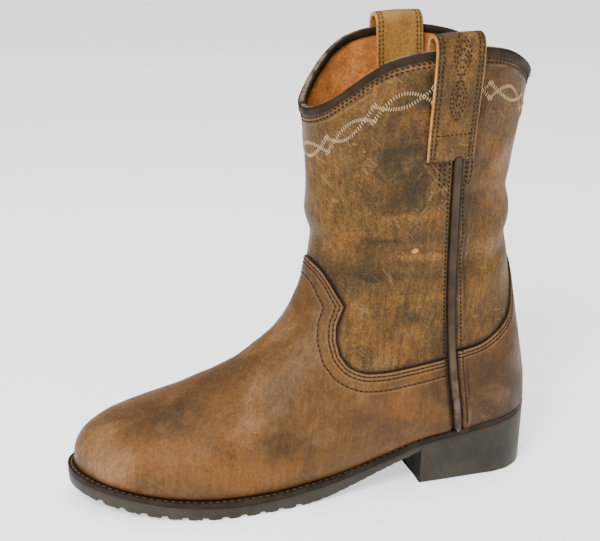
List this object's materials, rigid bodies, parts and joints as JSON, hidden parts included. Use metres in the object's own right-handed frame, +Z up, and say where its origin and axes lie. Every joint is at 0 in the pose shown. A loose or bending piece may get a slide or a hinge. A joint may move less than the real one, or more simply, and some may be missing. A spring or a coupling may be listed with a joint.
{
  "type": "roper boot",
  "caption": "Left roper boot: pull-on leather shaft with dipped topline and pull straps, rounded toe, tongue-shaped vamp, separate counter, welted lug sole and low stacked heel.",
  "frame": {"origin": "middle of the heel's flat underside, where the boot stands", "axes": "+Z up, +Y from heel to toe, -X to the lateral side of this left boot"},
  "size_m": [0.1258, 0.301, 0.2915],
  "materials": {
    "shaft_leather": "waxed olive brown leather, mottled and lightly scratched",
    "vamp_leather": "waxed warm brown leather with lighter worn patches",
    "binding_leather": "smooth dark brown leather",
    "piping_leather": "smooth brown leather",
    "welt_leather": "dark brown leather, stitched",
    "insole_leather": "plain tan leather",
    "sole_rubber": "matte dark brown rubber"
  },
  "bodies": {
    "root": {"upper": "shaft_leather", "vamp": "vamp_leather", "counter": "vamp_leather", "top_binding": "binding_leather", "side_piping_lateral": "piping_leather", "side_piping_medial": "piping_leather", "pull_strap_lateral": "shaft_leather", "pull_strap_medial": "shaft_leather", "welt": "welt_leather", "outsole": "sole_rubber", "heel": "sole_rubber", "insole": "insole_leather"}
  },
  "joints": []
}
